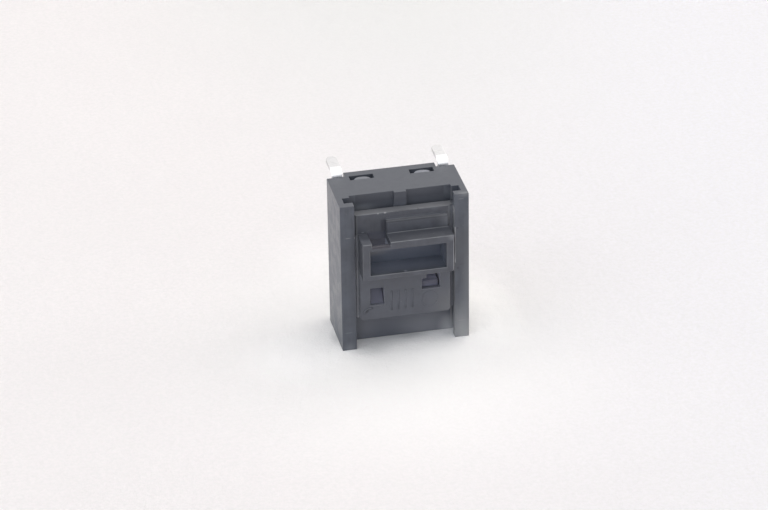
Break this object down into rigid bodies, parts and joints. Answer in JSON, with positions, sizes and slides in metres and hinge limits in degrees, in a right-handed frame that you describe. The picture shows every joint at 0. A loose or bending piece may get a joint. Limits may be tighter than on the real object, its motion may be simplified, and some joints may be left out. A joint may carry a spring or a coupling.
{
  "type": "slide switch",
  "caption": "Miniature power slide switch for a circuit board: a flat slider with a driver pocket runs in a T-shaped channel of a moulded housing, with bent solder pins behind.",
  "frame": {"origin": "middle of the lower end face that the switch stands on", "axes": "+Z along the slide's travel towards the end with the pins, +Y towards the circuit board behind the switch, +X to the right seen from the slider's side"},
  "size_m": [0.012, 0.0105, 0.0156],
  "materials": {
    "housing_plastic": "moulded thermoplastic, dark blue-grey, fine matt texture",
    "base_plastic": "moulded thermoplastic, dark blue-grey",
    "slider_plastic": "moulded thermoplastic, dark grey, satin",
    "carrier_plastic": "moulded thermoplastic, dark blue-grey",
    "tinned_brass": "matt tin plating over brass strip",
    "contact_silver": "silver alloy, plain",
    "copper_strip": "copper alloy strip, as rolled",
    "spring_steel": "bare spring steel"
  },
  "bodies": {
    "housing": {"housing": "housing_plastic", "base": "base_plastic", "terminal_left": "tinned_brass", "terminal_right": "tinned_brass", "fixed_contact_left": "contact_silver", "fixed_contact_right": "contact_silver", "detent_spring": "spring_steel"},
    "slider": {"slider": "slider_plastic", "contact_carrier": "carrier_plastic", "bridge_contact": "copper_strip", "moving_contact_left": "contact_silver", "moving_contact_right": "contact_silver", "contact_spring_left": "spring_steel", "contact_spring_right": "spring_steel"}
  },
  "joints": [
    {"name": "slider_slide", "type": "slide", "parent": "housing", "child": "slider", "axis": [0, 0, 1], "range_m": [-0.0016, 0], "deforming": ["detent_spring"]}
  ]
}
